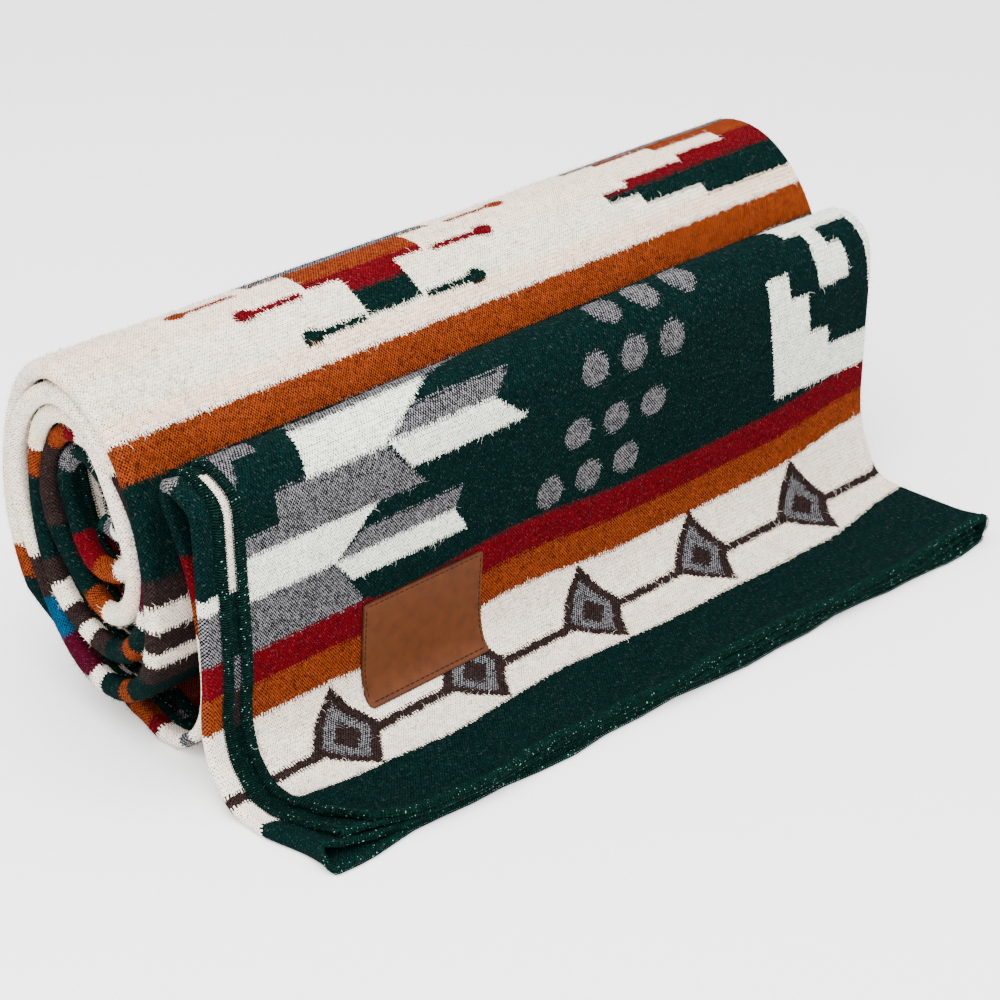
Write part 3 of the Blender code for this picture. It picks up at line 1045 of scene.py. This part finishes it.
# Stitches in the patch's groove: short lines along its border, each with bent-down ends
def patchStitches(mat, middleZ, height):
    inset = leather["groove"][0]
    halfX, halfZ, corner = leather["width"] / 2 - inset, height / 2 - inset, leather["corner"] - inset
    sides = []
    for turn, (alongHalf, outHalf) in enumerate(((halfX, halfZ), (halfZ, halfX)) * 2):
        count = int((2 * (alongHalf - corner)) / leather["stitch"][0])
        middles = (np.arange(count) - (count - 1) / 2) * leather["stitch"][0]
        along = middles[:, None] + np.linspace(-0.5, 0.5, 5) * leather["stitch"][1]
        out = np.full_like(along, outHalf)
        angle = turn * np.pi / 2
        turnedX = along * np.cos(angle) + out * np.sin(angle)
        turnedZ = -along * np.sin(angle) + out * np.cos(angle)
        sides.append(np.stack((turnedX, turnedZ), -1))
    plane = np.concatenate(sides)
    bend = np.array((-0.00030, 0.00010, 0.00016, 0.00010, -0.00030))
    level = leather["thick"] - leather["groove"][2] + np.broadcast_to(bend, plane.shape[:2])
    flatX, flatZ, level = plane[..., 0].reshape(-1, 1), plane[..., 1].reshape(-1), level.reshape(-1, 1)
    points = onFlap(flatX + leather["x"], flatZ + middleZ, level).reshape(*plane.shape[:2], 3)
    outward = onFlap(flatX + leather["x"], flatZ + middleZ, level + 0.001).reshape(*plane.shape[:2], 3)
    normal = (outward - points)[:, 2]
    normal /= np.linalg.norm(normal, axis=1, keepdims=True)
    tubes, faces = threads(points, normal, leather["stitch"][2], 6)
    return meshPiece("patch_stitches", tubes, faces.tolist(), mat)


# Tan leather: grain as small cells, soft mottling, darker on the rim and in the groove
def leatherMaterial():
    mat, start, shader = startMaterial("tan leather", {"Roughness": 0.55, "Specular IOR Level": 0.12})
    x, z = start.node("ShaderNodeUVMap", {"uv_map": "cloth"}, {}).parts()
    rim = start.node("ShaderNodeAttribute", {"attribute_name": "rim"}, {}, 2)
    flat = start.node("ShaderNodeCombineXYZ", {}, {0: x * 1000, 1: z * 1000})
    cells = flat.node("ShaderNodeTexVoronoi", {"feature": "SMOOTH_F1"}, {"Vector": flat, "Scale": 1.7})
    mottle = flat.noise(0.12, 5.0)
    fine = flat.noise(2.4, 3.0)
    # darker on the rounded-off rim and in the pressed groove
    darkRimAndGroove = (rim < 0.0006) | (rim.within(0.0015, 0.0021) * 0.6)
    tone = (mottle - 0.5) * 0.9 + (fine - 0.5) * 0.35 + (0.5 - cells) * 0.15 + 0.62 - darkRimAndGroove * 0.35
    feed(tone.smooth(0.0, 1.0).blend(leather["dark"], leather["tan"]), shader, "Base Color")
    feed((mottle * 0.25 + fine * 0.1 + 0.36), shader, "Roughness")
    relief = fine * 0.5 - cells * 0.6
    bump = start.node("ShaderNodeBump", {}, {"Height": relief, "Distance": 0.00012, "Strength": 0.6})
    feed(bump, shader, "Normal")
    return mat


def seamThreadMaterial():
    mat, start, shader = startMaterial("seam thread", {"Roughness": 0.8, "Specular IOR Level": 0.05})
    tone = start.node("ShaderNodeTexCoord", {}, {}, 3).noise(900.0, 2.0)
    feed(tone.blend(leather["threadLight"], leather["thread"]), shader, "Base Color")
    return mat


patch, patchMiddle, patchHeight = makePatch(leatherMaterial())
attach(patch, "root")
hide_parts("label")
seam = patchStitches(seamThreadMaterial(), patchMiddle, patchHeight)
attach(seam, "root")
print("patch", len(patch.data.polygons), "faces")

fuzz = {
    "length": (0.0022, 0.0050),
    "half": 0.00008,
    # count, from and to along, first and last column, seed
    "loose": (52000, 0.006, 0.345, 0, 50, 3),
    "roll": (52000, 0.62, 0.93, 44, 84, 5),
    "ridges": (40000, 0.45, 2.2, 76, 90, 7),
}


# Fibres that lie about on the cloth's face, each a bent blade of one quad and one triangle:
# root on the cloth, tip at length L in a random direction close to the surface
def fibres(name, mat):
    count, low, high, firstColumn, lastColumn, seed = fuzz[name]
    chance = np.random.default_rng(seed)
    v = chance.uniform(low, high, count)
    row = np.interp(v, clothV, np.arange(len(clothV)))
    u = chance.uniform(0, 1, count)
    line = clothU[int(row.mean())]
    first, last = line[firstColumn], line[lastColumn]
    column = np.interp(first + u * (last - first), line, np.arange(len(line)))
    r, c = np.minimum(row.astype(int), len(clothV) - 2), np.minimum(column.astype(int), len(line) - 2)
    fr, fc = (row - r)[:, None], (column - c)[:, None]

    def sample(grid):
        return ((grid[r, c] * (1 - fc) + grid[r, c + 1] * fc) * (1 - fr)
                + (grid[r + 1, c] * (1 - fc) + grid[r + 1, c + 1] * fc) * fr)

    normal = sample(clothNormal)
    normal /= np.linalg.norm(normal, axis=1, keepdims=True)
    root = sample(clothMid) + normal * sample(clothHalf[:, :, None]) * 0.9
    uv = np.column_stack((sample(clothU[:, :, None]), v))
    nearX = np.abs(root[:, 0] - strip["shift"][0] - leather["x"]) < leather["width"] / 2 + 0.002
    keep = ~(nearX & (root[:, 2] < leather["topZ"] + 0.002) & (v > 0.085) & (v < 0.25))
    root, normal, uv, count = root[keep], normal[keep], uv[keep], int(keep.sum())
    toss = chance.normal(size=(count, 3))
    flat = toss - normal * np.sum(toss * normal, axis=1, keepdims=True)
    flat /= np.linalg.norm(flat, axis=1, keepdims=True)
    lift = chance.uniform(0.05, 0.40, (count, 1))
    length = chance.uniform(*fuzz["length"], (count, 1))
    middle = root + (flat * 0.5 + normal * lift) * length
    bent = flat + np.cross(normal, flat) * chance.normal(0, 0.35, (count, 1))
    tip = middle + (bent * 0.5 + normal * (lift - 0.25) * 0.6) * length
    wide = np.cross(normal, flat) * fuzz["half"]
    points = np.stack((root - wide, root + wide, middle + wide, middle - wide, tip), axis=1)
    points[:, :, 2] = np.maximum(points[:, :, 2], 0.0002)
    start = np.arange(count)[:, None] * 5
    faces = (start + np.array((0, 1, 2, 3))).tolist() + (start + np.array((3, 2, 4))).tolist()
    uv = np.repeat(uv[:, None], 5, axis=1)
    inset = np.minimum(uv[:, :, 0] - line[0], line[-1] - uv[:, :, 0]) * 1000
    return meshPiece("fuzz_" + name, points, faces, mat, uv, {"side": np.zeros((count, 5)), "inset": inset})


for name in ("loose", "roll", "ridges"):
    hairs = fibres(name, woolMat)
    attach(hairs, "root")
    print(name, "fuzz", len(hairs.data.polygons), "faces")

stage = {
    "floor": paint(250, 250, 250),
    "key": 58.0,
    "fill": 22.0,
    "sky": 2.2,
}


def makeStage():
    size = 6.0
    corners = [(-size, -size, 0), (size, -size, 0), (size, size, 0), (-size, size, 0)]
    mat = startMaterial("floor", {"Roughness": 0.9, "Base Color": stage["floor"]})[0]
    floor = meshPiece("floor", np.array(corners), [(0, 1, 2, 3)], mat)
    world = bpy.data.worlds.new("studio")
    bpy.context.scene.world = world
    world.use_nodes = True
    sky = world.node_tree.nodes["Background"]
    sky.inputs["Color"].default_value = (1, 1, 1, 1)
    sky.inputs["Strength"].default_value = stage["sky"]
    softLight("key", (-0.35, -0.25, 1.5), (0, 0, 0.08), 1.6, stage["key"])
    softLight("fill", (-1.3, -1.2, 0.9), (0, 0, 0.10), 1.2, stage["fill"])


def softLight(name, place, target, size, power):
    data = bpy.data.lights.new(name, "AREA")
    data.size = size
    data.energy = power
    light = bpy.data.objects.new(name, data)
    light.location = place
    light.rotation_euler = (Vector(target) - Vector(place)).to_track_quat("-Z", "Y").to_euler()
    bpy.context.scene.collection.objects.link(light)


makeStage()
print("stage set")
